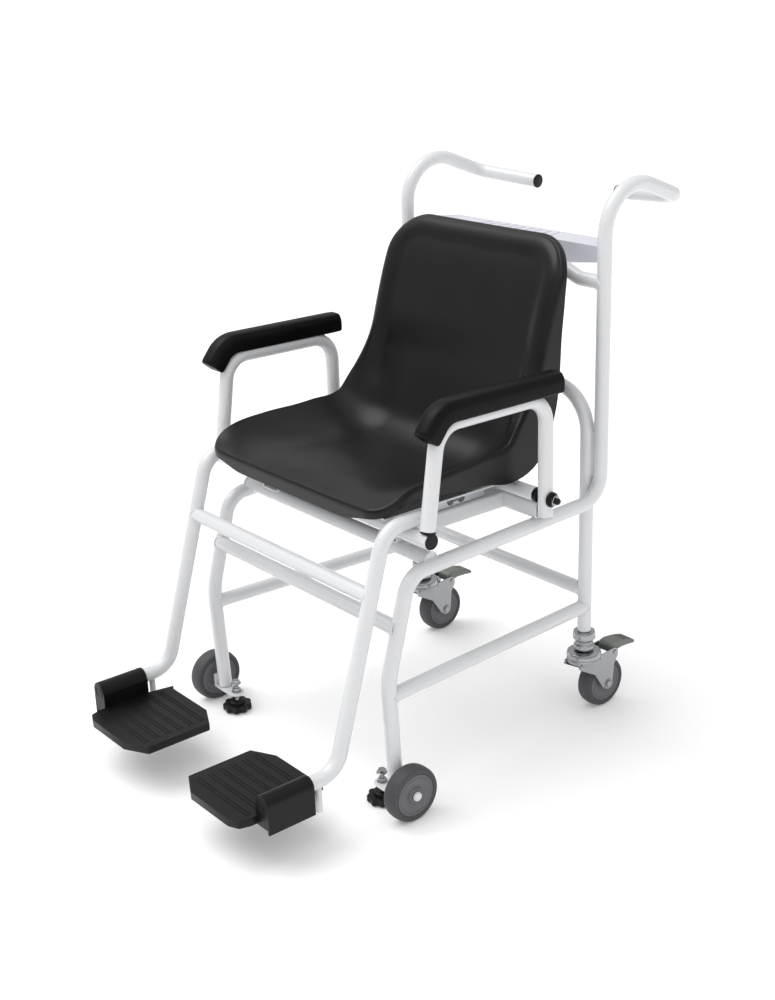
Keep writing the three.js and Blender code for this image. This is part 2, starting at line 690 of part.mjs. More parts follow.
add('weighed_front_tube', crossTube(FRONT_TUBE.x, FRONT_TUBE.y, FRONT_TUBE.z), WHITE());
add('arm_pivot_tube', crossTube(PIVOT.x, PIVOT.y, PIVOT.z, PIVOT.r), WHITE());
add('footrest_cross_tube', crossTube(FOOT_X - TUBE_R - GAP, FOOT_CROSS.y, FOOT_CROSS.z), WHITE());
addPair('seat_rail', seatRail(), WHITE);
addPair('arm_stop_cap', armStopCap(), BLACK);
addPair('arm_pivot_bolt', pivotBolt(), STEEL);
add('seat_shell', seatShell(), SHELL());

addPair('arm_tube', armTube(), WHITE);
addPair('arm_pad', armPad(), BLACK);
addPair('footplate', footplate(), BLACK);

const frontHub = () => hub().translate(FRONT_WHEEL.x, FRONT_WHEEL.y, WHEEL.r);
const frontTyre = () => tyre().translate(FRONT_WHEEL.x, FRONT_WHEEL.y, WHEEL.r);
addPair('front_tyre', frontTyre(), TYRE);
addPair('front_hub', frontHub(), HUB);
addPair('castor_stem', castorStem(), STEEL);
addPair('castor_fork', castorFork(), STEEL);
addPair('castor_tyre', tyre().translate(HOOP.x, CASTOR_AXLE.y, CASTOR_AXLE.z), TYRE);
addPair('castor_hub', hub().translate(HOOP.x, CASTOR_AXLE.y, CASTOR_AXLE.z), HUB);
addPair('castor_brake_pedal', brakePedal(), PEDAL);

add('indicator_carrier', indicatorCarrier(), WHITE());
add('indicator_bracket', indicatorBracket(), LILAC());
add('indicator_shell', indicatorShell(), LILAC());
add('indicator_face', indicatorFace(), LILAC());
add('indicator_display', box(-61, 51, CONSOLE.rear - 6, CONSOLE.rear, 839, 861), GLASS());
add('indicator_board', box(-75, 134, CONSOLE.rear - 10, CONSOLE.rear - 8, 836.5, 865), BOARD());
add('indicator_battery', box(-60, 60, CONSOLE.front + 6, CONSOLE.front + 32, 834, 860), BLACK());

const bounds = new THREE.Box3().setFromObject(scale);
scale.position.y = -(bounds.min.y + bounds.max.y) / 2;

export default scale;
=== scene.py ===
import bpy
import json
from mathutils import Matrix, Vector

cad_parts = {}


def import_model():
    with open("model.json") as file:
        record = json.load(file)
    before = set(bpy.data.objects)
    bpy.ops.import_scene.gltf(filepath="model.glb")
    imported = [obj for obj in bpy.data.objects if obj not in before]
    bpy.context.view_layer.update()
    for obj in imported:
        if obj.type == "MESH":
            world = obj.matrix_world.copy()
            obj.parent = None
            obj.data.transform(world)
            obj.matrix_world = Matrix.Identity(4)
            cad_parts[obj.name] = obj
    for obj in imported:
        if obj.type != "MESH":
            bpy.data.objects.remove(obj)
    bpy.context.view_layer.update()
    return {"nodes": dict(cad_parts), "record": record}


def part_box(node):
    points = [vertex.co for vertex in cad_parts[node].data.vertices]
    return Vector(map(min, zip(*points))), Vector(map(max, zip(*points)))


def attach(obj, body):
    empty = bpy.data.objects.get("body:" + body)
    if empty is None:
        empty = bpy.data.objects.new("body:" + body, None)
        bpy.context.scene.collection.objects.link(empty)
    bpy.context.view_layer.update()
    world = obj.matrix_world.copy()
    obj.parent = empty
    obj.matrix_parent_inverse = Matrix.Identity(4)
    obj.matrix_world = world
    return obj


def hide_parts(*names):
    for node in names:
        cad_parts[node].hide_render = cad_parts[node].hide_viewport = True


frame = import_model()

import json
import math

import bmesh
import bpy
import numpy as np
from mathutils import Matrix, Vector

# ---------- sizes, in millimetres, with y = 0 at the uprights ----------
PLATE_FRONT = -775
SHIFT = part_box("footplate_left")[0].y * 1000 - PLATE_FRONT
TUBE_R = 12.7
SIDE_X = 256.5
HOOP_X, HOOP_Y = 230.8, -4.4
ARM_X, PIVOT_Y, PIVOT_Z = 290, -166.5, 483
FOOT_X = 254
AXLE_Z = 48
FRONT_AXLE = (292, -476)
CASTOR_AXLE = (HOOP_X, 41)
SIDES = (("left", 1), ("right", -1))

SIDE_PATH = (
    [(SIDE_X, -477.5, 38.5), (SIDE_X, -486, 240), (SIDE_X, -437.6, 412), (SIDE_X, 3.6, 430),
     (SIDE_X, 3.6, 1006.7), (SIDE_X, 191.4, 937), (105, 202, 929)],
    [150, 46, 50, 80, 33],
)
HOOP_PATH = (
    [(HOOP_X, HOOP_Y, 166), (HOOP_X, HOOP_Y, 621), (-HOOP_X, HOOP_Y, 621), (-HOOP_X, HOOP_Y, 166)],
    [75, 75],
)
FOOTREST_PATH = (
    [(FOOT_X, -404, 502), (FOOT_X, -481, 502), (FOOT_X, -596, 118), (FOOT_X, -734, 118)],
    [50, 46],
)
ARM_PATH = (
    [(ARM_X, -424.6, 493.5), (ARM_X, -399.3, 658), (ARM_X, PIVOT_Y, 658), (ARM_X, PIVOT_Y, 449)],
    [45, 45],
)
CARRIER_PATH = (
    [(SIDE_X, 3.6, 814), (200, 3.6, 814), (112, 3.6, 845), (-112, 3.6, 845), (-200, 3.6, 814),
     (-SIDE_X, 3.6, 814)],
    [38, 60, 60, 38],
)
PAD_PATH = ([(296.8, -147, 682), (296.8, -401, 682), (296.8, -430, 645)], [42])

NODES = frame["nodes"]
SLOT = {s["node"]: s["material_slot"] for s in frame["record"]["subparts"]}
BODY = {n: b for b, ns in frame["record"]["behaviour"]["bodies"].items() for n in ns}


def mirrored(points, s):
    return [(s * x, y, z) for x, y, z in points]


# ---------- shader groups ----------
def linear(code):
    parts = [int(code[i:i + 2], 16) / 255 for i in (1, 3, 5)]
    return [c / 12.92 if c <= 0.04045 else ((c + 0.055) / 1.055) ** 2.4 for c in parts] + [1.0]


def group(name, inputs, outputs):
    tree = bpy.data.node_groups.new(name, "ShaderNodeTree")
    for label, kind, value in inputs:
        tree.interface.new_socket(label, in_out="INPUT", socket_type=kind).default_value = value
    for label, kind in outputs:
        tree.interface.new_socket(label, in_out="OUTPUT", socket_type=kind)
    return tree, tree.nodes.new("NodeGroupInput"), tree.nodes.new("NodeGroupOutput")


def node(tree, kind, inputs=(), **settings):
    made = tree.nodes.new(kind)
    for key, value in settings.items():
        setattr(made, key, value)
    for key, value in dict(inputs).items():
        if isinstance(value, bpy.types.NodeSocket):
            tree.links.new(value, made.inputs[key])
        else:
            made.inputs[key].default_value = value
    return made


# Mottles a colour, varies a roughness and raises a fine grain, all from the object's own space.
def grain_group():
    tree, given, result = group(
        "Grain",
        [("Colour", "NodeSocketColor", (1, 1, 1, 1)), ("Mottle", "NodeSocketFloat", 0.05),
         ("Roughness", "NodeSocketFloat", 0.4), ("Unevenness", "NodeSocketFloat", 0.05),
         ("Stretch", "NodeSocketVector", (1, 1, 1)), ("Grain Scale", "NodeSocketFloat", 600),
         ("Grain Height", "NodeSocketFloat", 0.1)],
        [("Colour", "NodeSocketColor"), ("Roughness", "NodeSocketFloat"),
         ("Normal", "NodeSocketVector")],
    )
    place = node(tree, "ShaderNodeTexCoord").outputs["Object"]
    stretched = node(tree, "ShaderNodeVectorMath", {0: place, 1: given.outputs["Stretch"]},
                     operation="MULTIPLY").outputs[0]
    broad = node(tree, "ShaderNodeTexNoise", {"Vector": stretched, "Scale": 22.0, "Detail": 5.0})
    fine = node(tree, "ShaderNodeTexNoise",
                {"Vector": stretched, "Scale": given.outputs["Grain Scale"], "Detail": 3.0})
    centred = node(tree, "ShaderNodeMath", {0: broad.outputs["Fac"], 1: 0.5}, operation="SUBTRACT")
    amount = node(tree, "ShaderNodeMath",
                  {0: centred.outputs[0], 1: given.outputs["Mottle"]}, operation="MULTIPLY")
    value = node(tree, "ShaderNodeMath", {0: amount.outputs[0], 1: 1.0}, operation="ADD")
    tint = node(tree, "ShaderNodeHueSaturation",
                {"Color": given.outputs["Colour"], "Value": value.outputs[0]})
    rough = node(tree, "ShaderNodeMath",
                 {0: centred.outputs[0], 1: given.outputs["Unevenness"], 2: given.outputs["Roughness"]},
                 operation="MULTIPLY_ADD", use_clamp=True)
    bump = node(tree, "ShaderNodeBump",
                {"Strength": given.outputs["Grain Height"], "Distance": 0.0004,
                 "Height": fine.outputs["Fac"]})
    tree.links.new(tint.outputs[0], result.inputs["Colour"])
    tree.links.new(rough.outputs[0], result.inputs["Roughness"])
    tree.links.new(bump.outputs[0], result.inputs["Normal"])
    return tree


# Rounded cells like those of a moulded leather grain, laid over a normal.
def pebble_group():
    tree, given, result = group(
        "Pebble",
        [("Scale", "NodeSocketFloat", 700), ("Height", "NodeSocketFloat", 0.2),
         ("Normal", "NodeSocketVector", (0, 0, 0))],
        [("Normal", "NodeSocketVector"), ("Mask", "NodeSocketFloat")],
    )
    place = node(tree, "ShaderNodeTexCoord").outputs["Object"]
    cells = node(tree, "ShaderNodeTexVoronoi", {"Vector": place, "Scale": given.outputs["Scale"]},
                 feature="SMOOTH_F1")
    bump = node(tree, "ShaderNodeBump",
                {"Strength": given.outputs["Height"], "Distance": 0.0005,
                 "Height": cells.outputs["Distance"], "Normal": given.outputs["Normal"]})
    tree.links.new(bump.outputs[0], result.inputs["Normal"])
    tree.links.new(cells.outputs["Distance"], result.inputs["Mask"])
    return tree


GRAIN = grain_group()
PEBBLE = pebble_group()

# slot: colour, roughness, metalness, mottle, unevenness, grain scale, grain height, pebble, coat
FINISHES = {
    "white_coat": ("#d9dadc", 0.26, 0.0, 0.03, 0.05, 420, 0.05, 0.0, 0.35),
    "lilac_plastic": ("#d3d3dd", 0.45, 0.0, 0.04, 0.10, 900, 0.12, 0.0, 0.0),
    "black_plastic": ("#0b0b0c", 0.38, 0.0, 0.30, 0.22, 800, 0.20, 0.10, 0.0),
    "seat_plastic": ("#08090b", 0.34, 0.0, 0.22, 0.12, 650, 0.10, 0.16, 0.0),
    "arm_pad_foam": ("#050506", 0.44, 0.0, 0.30, 0.25, 420, 0.22, 0.22, 0.0),
    "tyre_grey": ("#434346", 0.62, 0.0, 0.22, 0.20, 700, 0.25, 0.0, 0.0),
    "hub_grey": ("#606064", 0.48, 0.0, 0.14, 0.15, 800, 0.12, 0.0, 0.0),
    "chrome_steel": ("#a2a3a6", 0.20, 1.0, 0.10, 0.22, 300, 0.06, 0.0, 0.0),
    "pedal_grey": ("#71756f", 0.42, 0.35, 0.16, 0.20, 500, 0.14, 0.0, 0.0),
    "cell_aluminium": ("#b9bbbf", 0.36, 1.0, 0.08, 0.18, 500, 0.10, 0.0, 0.0),
    "display_glass": ("#6f7c69", 0.10, 0.0, 0.05, 0.04, 300, 0.02, 0.0, 0.6),
    "board_green": ("#1f6b3c", 0.45, 0.0, 0.25, 0.20, 500, 0.15, 0.0, 0.0),
}
# Reflection level of the black plastics, 0.5 elsewhere.
SHINE = {"black_plastic": 0.24, "seat_plastic": 0.3, "arm_pad_foam": 0.16}
# Stretch of the grain on metal.
BRUSHED = {"cell_aluminium": (1.0, 0.05, 1.0), "chrome_steel": (1.0, 1.0, 0.25)}


def finish_material(slot):
    colour, rough, metal, mottle, uneven, scale, height, pebble, coat = FINISHES[slot]
    made = bpy.data.materials.new(slot)
    made.use_nodes = True
    tree = made.node_tree
    shader = tree.nodes["Principled BSDF"]
    grain = node(tree, "ShaderNodeGroup")
    grain.node_tree = GRAIN
    values = {"Colour": linear(colour), "Mottle": mottle, "Roughness": rough, "Unevenness": uneven,
              "Stretch": BRUSHED.get(slot, (1, 1, 1)), "Grain Scale": scale, "Grain Height": height}
    for key, value in values.items():
        grain.inputs[key].default_value = value
    normal = grain.outputs["Normal"]
    if pebble:
        cells = node(tree, "ShaderNodeGroup")
        cells.node_tree = PEBBLE
        cells.inputs["Scale"].default_value = scale
        cells.inputs["Height"].default_value = pebble
        tree.links.new(normal, cells.inputs["Normal"])
        normal = cells.outputs["Normal"]
    tree.links.new(grain.outputs["Colour"], shader.inputs["Base Color"])
    tree.links.new(grain.outputs["Roughness"], shader.inputs["Roughness"])
    tree.links.new(normal, shader.inputs["Normal"])
    shader.inputs["Metallic"].default_value = metal
    shader.inputs["Specular IOR Level"].default_value = SHINE.get(slot, 0.5)
    shader.inputs["Coat Weight"].default_value = coat
    shader.inputs["Coat Roughness"].default_value = 0.12
    return made


MATERIALS = {slot: finish_material(slot) for slot in FINISHES}
for name, cad in NODES.items():
    cad.data.materials.clear()
    cad.data.materials.append(MATERIALS[SLOT[name]])


# ---------- meshes ----------
# A mesh is (points, faces) in millimetres until it becomes a piece.
def merged(*meshes):
    points, faces = [], []
    for more_points, more_faces in meshes:
        faces += [tuple(i + len(points) for i in f) for f in more_faces]
        points += [tuple(p) for p in more_points]
    return points, faces


def flipped(mesh, s):
    points, faces = mesh
    return [(s * x, y, z) for x, y, z in points], faces


def moved(mesh, x, y, z):
    points, faces = mesh
    return [(p[0] + x, p[1] + y, p[2] + z) for p in points], faces


def piece(name, mesh, cad, replaces=True, slot=None, sharp=38, bevel=0.0, segments=3):
    points, faces = mesh
    data = bpy.data.meshes.new(name)
    data.from_pydata([((x) / 1000, (y + SHIFT) / 1000, z / 1000) for x, y, z in points], [], faces)
    work = bmesh.new()
    work.from_mesh(data)
    bmesh.ops.remove_doubles(work, verts=work.verts, dist=1e-6)
    bmesh.ops.recalc_face_normals(work, faces=work.faces)
    work.to_mesh(data)
    work.free()
    data.shade_smooth()
    data.set_sharp_from_angle(angle=math.radians(sharp))
    made = bpy.data.objects.new(name, data)
    bpy.context.scene.collection.objects.link(made)
    data.materials.append(MATERIALS[slot or SLOT[cad]])
    if bevel:
        add_bevel(made, bevel, segments)
    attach(made, BODY[cad])
    if replaces:
        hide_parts(cad)
    return made


def add_bevel(made, width, segments=3, angle=32):
    edge = made.modifiers.new("edge", "BEVEL")
    edge.width = width / 1000
    edge.segments = segments
    edge.limit_method = "ANGLE"
    edge.angle_limit = math.radians(angle)
    edge.harden_normals = True


# A CAD node's own form with its edges rounded and its round faces shaded smooth.
def rounded_node(cad, bevel, segments=3, sharp=38):
    data = NODES[cad].data.copy()
    work = bmesh.new()
    work.from_mesh(data)
    bmesh.ops.remove_doubles(work, verts=work.verts, dist=2e-6)
    bmesh.ops.dissolve_limit(work, angle_limit=math.radians(1.5), verts=work.verts, edges=work.edges)
    points = [(v.co.x * 1000, v.co.y * 1000 - SHIFT, v.co.z * 1000) for v in work.verts]
    work.verts.index_update()
    faces = [tuple(v.index for v in f.verts) for f in work.faces]
    work.free()
    return piece(cad + "_form", (points, faces), cad, bevel=bevel, segments=segments, sharp=sharp)


def bent_path(corners, bends, step=math.radians(4)):
    points = [Vector(c) for c in corners]
    stations = [(points[0], (points[1] - points[0]).normalized())]
    for before, corner, after, radius in zip(points, points[1:], points[2:], bends):
        into = (corner - before).normalized()
        out = (after - corner).normalized()
        turn = into.angle(out)
        axis = into.cross(out).normalized()
        start = corner - into * radius * math.tan(turn / 2)
        centre = start + axis.cross(into) * radius
        count = max(2, math.ceil(turn / step))
        for i in range(count + 1):
            spin = Matrix.Rotation(turn * i / count, 3, axis)
            stations.append((centre + spin @ (start - centre), spin @ into))
    stations.append((points[-1], (points[-1] - points[-2]).normalized()))
    return stations


# Carries a section along a path without twist. sizes scales the section at each station.
def sweep(stations, section, side=None, sizes=None, closed=False):
    tangent = stations[0][1]
    side = Vector(side or tangent.orthogonal()).normalized()
    side = (side - tangent * side.dot(tangent)).normalized()
    points, faces = [], []
    count = len(section)
    for i, (centre, direction) in enumerate(stations):
        side = tangent.rotation_difference(direction) @ side
        tangent = direction
        up = tangent.cross(side)
        size = sizes[i] if sizes else 1.0
        points += [tuple(centre + side * (a * size) + up * (b * size)) for a, b in section]
    rings = len(stations)
    for i in range(rings if closed else rings - 1):
        low, high = i * count, ((i + 1) % rings) * count
        faces += [(low + k, low + (k + 1) % count, high + (k + 1) % count, high + k)
                  for k in range(count)]
    if not closed:
        faces.append(tuple(range(count)))
        faces.append(tuple(range((rings - 1) * count, rings * count)))
    return points, faces


def circle(radius, count=36):
    return [(radius * math.cos(2 * math.pi * k / count), radius * math.sin(2 * math.pi * k / count))
            for k in range(count)]


def tube(path, radius=TUBE_R, count=36, edge=0.9):
    stations = bent_path(*path)
    first, last = stations[0], stations[-1]
    stations = ([first, (first[0] + first[1] * edge, first[1])] + stations[1:-1]
                + [(last[0] - last[1] * edge, last[1]), last])
    sizes = [1.0] * len(stations)
    sizes[0] = sizes[-1] = 1 - edge / radius
    return sweep(stations, circle(radius, count), sizes=sizes)


def lathe(profile, axis="z", count=48):
    points, faces = [], []
    for k in range(count):
        angle = 2 * math.pi * k / count
        for r, h in profile:
            a, b = r * math.cos(angle), r * math.sin(angle)
            points.append({"x": (h, a, b), "y": (a, h, b), "z": (a, b, h)}[axis])
    rows = len(profile)
    for k in range(count):
        low, high = k * rows, ((k + 1) % count) * rows
        faces += [(low + i, low + i + 1, high + i + 1, high + i) for i in range(rows - 1)]
    if profile[0][0] > 0 and profile[0] != profile[-1]:
        faces.append(tuple(k * rows for k in range(count)))
        faces.append(tuple(k * rows + rows - 1 for k in range(count)))
    return points, faces


def prism(outline, plane, low, high):
    count = len(outline)
    lift = {"xy": lambda a, b, h: (a, b, h), "yz": lambda a, b, h: (h, a, b),
            "xz": lambda a, b, h: (a, h, b)}[plane]
    points = [lift(a, b, low) for a, b in outline] + [lift(a, b, high) for a, b in outline]
    faces = [(k, (k + 1) % count, count + (k + 1) % count, count + k) for k in range(count)]
    return points, faces + [tuple(range(count)), tuple(range(count, 2 * count))]


def block(x0, x1, y0, y1, z0, z1):
    return prism([(x0, y0), (x1, y0), (x1, y1), (x0, y1)], "xy", z0, z1)


def rounded_rect(a, b, radius, steps=5):
    outline = []
    for cx, cy, start in ((a, b, 0), (-a, b, 90), (-a, -b, 180), (a, -b, 270)):
        for i in range(steps + 1):
            angle = math.radians(start + 90 * i / steps)
            outline.append((cx - math.copysign(radius, cx) + radius * math.cos(angle),
                            cy - math.copysign(radius, cy) + radius * math.sin(angle)))
    return outline


# ---------- welds ----------
def distances(points, path):
    stations = np.array([tuple(p) for p, _ in bent_path(*path)])
    a, b = stations[:-1], stations[1:]
    along = b - a
    offset = points[:, None, :] - a
    t = np.clip((offset * along).sum(2) / (along ** 2).sum(1), 0, 1)
    return np.linalg.norm(offset - along * t[..., None], axis=2).min(1)


# The bead where a tube meets another: it follows the saddle that the two surfaces share.
def bead(main, end, away, radius=TUBE_R, main_radius=TUBE_R, turns=96):
    end, away = Vector(end), Vector(away).normalized()
    side = away.orthogonal().normalized()
    up = away.cross(side)
    reach = np.arange(26, -16, -0.4)
    spots = []
    for k in range(turns):
        angle = 2 * math.pi * k / turns
        start = end + side * (radius * math.cos(angle)) + up * (radius * math.sin(angle))
        line = np.array([tuple(start + away * h) for h in reach])
        gap = distances(line, main) - main_radius
        inside = np.nonzero(gap <= 0)[0]
        spots.append(start + away * float(reach[inside[0] if len(inside) else np.argmin(gap)]))
    stations = [(spots[k], (spots[(k + 1) % turns] - spots[k - 1]).normalized())
                for k in range(turns)]
    sizes = [1 + 0.12 * math.cos(2 * math.pi * k / 4) for k in range(turns)]
    return sweep(stations, circle(1.7, 8), sizes=sizes, closed=True)


SIDE_PATHS = {s: (mirrored(SIDE_PATH[0], s), SIDE_PATH[1]) for s in (1, -1)}
FOOT_PATHS = {s: (mirrored(FOOTREST_PATH[0], s), FOOTREST_PATH[1]) for s in (1, -1)}


def cross_tube(cad, mains, half, y, z, radius=TUBE_R):
    piece(cad + "_form", tube(([(-half, y, z), (half, y, z)], []), radius), cad)
    if mains:
        beads = [bead(mains[s], (s * half, y, z), (-s, 0, 0), radius) for s in (1, -1)]
        piece(cad + "_welds", merged(*beads), cad, replaces=False, sharp=80)


# ---------- carriage ----------
for side, s in SIDES:
    piece(f"side_tube_{side}_form", tube(SIDE_PATHS[s]), f"side_tube_{side}")
    rail = [(s * SIDE_X, -482.6, 213), (s * HOOP_X, HOOP_Y, 215)]
    piece(f"lower_side_rail_{side}_form", tube((rail, [])), f"lower_side_rail_{side}")
    run = Vector(rail[1]) - Vector(rail[0])
    welds = merged(bead(SIDE_PATHS[s], rail[0], run), bead(HOOP_PATH, rail[1], -run))
    piece(f"lower_side_rail_{side}_welds", welds, f"lower_side_rail_{side}", False, sharp=80)
    points, faces = lathe([(0, 0.2), (10, 0.2), (12.6, 0.4), (13, 1.2), (12.6, 2.4), (11, 3), (0, 3.2)])
    corner, end = Vector(SIDE_PATH[0][-2]), Vector(SIDE_PATH[0][-1])
    turn = Vector((0, 0, 1)).rotation_difference(end - corner)
    cap = ([tuple(end + turn @ Vector(p)) for p in points], faces)
    piece(f"handle_cap_{side}_form", flipped(cap, s), f"handle_cap_{side}")

piece("rear_hoop_form", tube(HOOP_PATH), "rear_hoop")
cross_tube("front_cross_tube_upper", SIDE_PATHS, SIDE_X - 0.6, -391, 425)
cross_tube("front_cross_tube_lower", SIDE_PATHS, SIDE_X - 0.6, -464.6, 327)
cross_tube("rear_cross_tube", {1: HOOP_PATH, -1: HOOP_PATH}, HOOP_X - 0.6, HOOP_Y, 246)
cross_tube("weighed_front_tube", None, 296, -423, 476)
cross_tube("arm_pivot_tube", None, 268, PIVOT_Y, PIVOT_Z, 12.4)
cross_tube("footrest_cross_tube", FOOT_PATHS, FOOT_X - 0.6, -512.5, 396)

# Gussets between the hoop's legs and the side tubes.
for side, s in SIDES:
    lug = block(HOOP_X + 10.5, SIDE_X - 10.5, -5, 4, 470, 552)
    piece(f"hoop_gusset_{side}", flipped(lug, s), "rear_hoop", False, bevel=1.2)

piece("indicator_carrier_form", tube(CARRIER_PATH), "indicator_carrier")
welds = [bead(SIDE_PATHS[s], (s * SIDE_X, 3.6, 814), (-s, 0, 0)) for s in (1, -1)]
piece("indicator_carrier_welds", merged(*welds), "indicator_carrier", False, sharp=80)


# Rectangular hollow section: an outer and an inner skin, open at both ends.
def hollow_section(centre, half_a, half_b, start, stop, axis, wall=2.0):
    outer = rounded_rect(half_a, half_b, 4)
    inner = rounded_rect(half_a - wall, half_b - wall, 2.5)
    count = len(outer)
    points = []
    for h in (start, stop):
        for ring in (outer, inner):
            for a, b in ring:
                if axis == "y":
                    points.append((centre[0] + a, h, centre[1] + b))
                else:
                    points.append((h, centre[0] + a, centre[1] + b))
    faces = []
    for k in range(count):
        n = (k + 1) % count
        o0, i0, o1, i1 = 0, count, 2 * count, 3 * count
        faces += [(o0 + k, o0 + n, o1 + n, o1 + k), (i0 + k, i1 + k, i1 + n, i0 + n),
                  (o0 + k, i0 + k, i0 + n, o0 + n), (o1 + k, o1 + n, i1 + n, i1 + k)]
    return points, faces


for side, s in SIDES:
    beam = hollow_section((167, 452.4), 23, 14.2, -407, -167.8, "y")
    piece(f"subframe_beam_{side}_form", flipped(beam, s), f"subframe_beam_{side}", sharp=30)
member = hollow_section((-153.8, 452.4), 13.8, 14.2, -268, 268, "x")
piece("subframe_rear_member_form", member, "subframe_rear_member", sharp=30)


# ---------- bolts ----------
def hex_head(width, low, high, axis="x"):
    r = width / 2 / math.cos(math.pi / 6)
    return lathe([(0, low), (r, low), (r, high - 0.8), (r * 0.9, high), (0, high)], axis, 6)


def washer(inner, outer, low, high, axis="x"):
    c = 0.3
    return lathe([(inner, low), (outer - c, low), (outer, low + c), (outer, high - c),
                  (outer - c, high), (inner, high), (inner, low)], axis)


def threaded(radius, low, high, axis, pitch=1.5):
    profile = [(0, low)]
    h = low
    while h < high - pitch:
        profile += [(radius - 0.5, h), (radius, h + pitch / 2)]
        h += pitch
    return lathe(profile + [(radius - 0.5, high), (0, high)], axis, 24)


for side, s in SIDES:
    inner, outer = ARM_X - TUBE_R - 0.3, ARM_X + TUBE_R + 0.3
    bush = lathe([(0, 268.3), (12, 268.3), (13, 269.3), (13, inner - 1), (12, inner), (0, inner)], "x")
    shank = lathe([(0, inner), (5, inner), (5, outer), (0, outer)], "x", 24)
    ring = lathe([(0, outer), (12.4, outer), (13, outer + 0.6), (13, outer + 4.2),
                  (12.2, outer + 5), (0, outer + 5)], "x")
    nut = hex_head(17, outer + 5, outer + 13, "x")
    end = lathe([(0, outer + 12), (5.5, outer + 12), (5.5, outer + 17), (4.8, outer + 18.8),
                 (3, outer + 19.7), (0, outer + 20)], "x", 32)
    cad = f"arm_pivot_bolt_{side}"
    at = (0, PIVOT_Y, PIVOT_Z)
    steel = moved(flipped(merged(shank, nut), s), *at)
    piece(cad + "_form", steel, cad)
    black = moved(flipped(merged(bush, ring, end), s), *at)
    piece(cad + "_bushes", black, cad, False, slot="black_plastic")

    cad = f"arm_stop_cap_{side}"
    edge = 296.3
    disc = lathe([(0, edge), (12, edge), (13, edge + 0.6), (13, edge + 1.8), (12, edge + 2.8),
                  (0, edge + 3)], "x")
    saddle = prism([(-9, 12.9), (9, 12.9), (8, 15.1), (-8, 15.1)], "yz", 280, 299)
    web = block(edge, edge + 2.2, -8, 8, 6, 14)
    piece(cad + "_form", moved(flipped(merged(disc, saddle, web), s), 0, -423, 476), cad, bevel=0.4)


# ---------- levelling feet ----------
def lobed(radius, depth, lobes, low, high, shrink=0.0):
    count = lobes * 10
    outline = [(radius + depth * math.cos(lobes * 2 * math.pi * k / count)) for k in range(count)]
    rings = [(low, 1.5), (low + 1.5, 0), (high - 2.0, shrink), (high, shrink + 2)]
    points = []
    for h, inset in rings:
        points += [((r - inset) * math.cos(2 * math.pi * k / count),
                    (r - inset) * math.sin(2 * math.pi * k / count), h)
                   for k, r in enumerate(outline)]
    faces = []
    for i in range(len(rings) - 1):
        faces += [(i * count + k, i * count + (k + 1) % count,
                   (i + 1) * count + (k + 1) % count, (i + 1) * count + k) for k in range(count)]
    return points, faces + [tuple(range(count)), tuple(range(3 * count, 4 * count))]


for side, s in SIDES:
    at = (s * 219.4, -477.4, 0)
    cad = f"levelling_foot_{side}"
    knob = lobed(25.3, 1.9, 9, 2.2, 15)
    neck = lathe([(0, 14), (15.5, 14), (14.5, 19.5), (13, 20.8), (4.3, 20.8), (4.3, 13), (0, 13)])
    sole = lathe([(0, 0), (19, 0), (20, 0.8), (20, 3), (0, 3)])
    piece(cad + "_form", moved(merged(knob, neck, sole), *at), cad)
    cad = f"levelling_spindle_{side}"
    stem = threaded(4, 13.2, 53, "z")
    flare = lathe([(0, 52), (6, 52), (9.4, 54.2), (9.4, 55.6), (7.5, 56.6), (0, 56.6)])
    head = hex_head(13, 56, 61.4, "z")
    piece(cad + "_form", moved(merged(stem, flare, head), *at), cad)
    cad = f"foot_bracket_{side}"
    rounded_node(cad, 0.8)
    nut = merged(washer(4.6, 9, 37.6, 39.2, "z"), hex_head(13, 39.2, 45, "z"))
    piece(cad + "_nut", moved(nut, *at), cad, False, slot="chrome_steel")


# ---------- wheels ----------
def tyre_mesh():
    r, h = 48, 15
    profile = [(36.8, -13), (38.4, -13.6), (41, -14.6), (43.5, -14.8), (45.4, -13.6), (46.9, -10.6),
               (47.7, -6.4), (r, -2), (r, 2), (47.7, 6.4), (46.9, 10.6), (45.4, 13.6),
               (43.5, 14.8), (41, 14.6), (38.4, 13.6), (36.8, 13)]
    return lathe(profile + [profile[0]], "x", 96)


def hub_mesh():
    half = [(36.4, 13), (35.9, 13.7), (32.4, 14), (31.6, 13.2), (30.8, 13.2), (30.2, 13.9),
            (27.5, 13.6), (20, 12.4), (15, 12.2), (14, 14.2), (12, 15.4), (9.6, 15.5), (9.2, 14.6)]
    profile = [(4.3, -14.6)] + [(r, -h) for r, h in reversed(half)] + half + [(4.3, 14.6)]
    return lathe(profile + [profile[0]], "x", 96)


for side, s in SIDES:
    for name, x, y in (("front", *FRONT_AXLE), ("castor", *CASTOR_AXLE)):
        at = (s * x, y, AXLE_Z)
        piece(f"{name}_tyre_{side}_form", moved(tyre_mesh(), *at), f"{name}_tyre_{side}", sharp=50)
        piece(f"{name}_hub_{side}_form", moved(hub_mesh(), *at), f"{name}_hub_{side}", sharp=28)
    x, y = FRONT_AXLE
    bolt = merged(washer(4.2, 8.6, 15.4, 16.6), hex_head(12, 16.6, 20.8))
    cad = f"foot_bracket_{side}"
    piece(cad + "_axle_bolt", moved(flipped(bolt, s), s * x, y, AXLE_Z), cad, False,
          slot="chrome_steel")


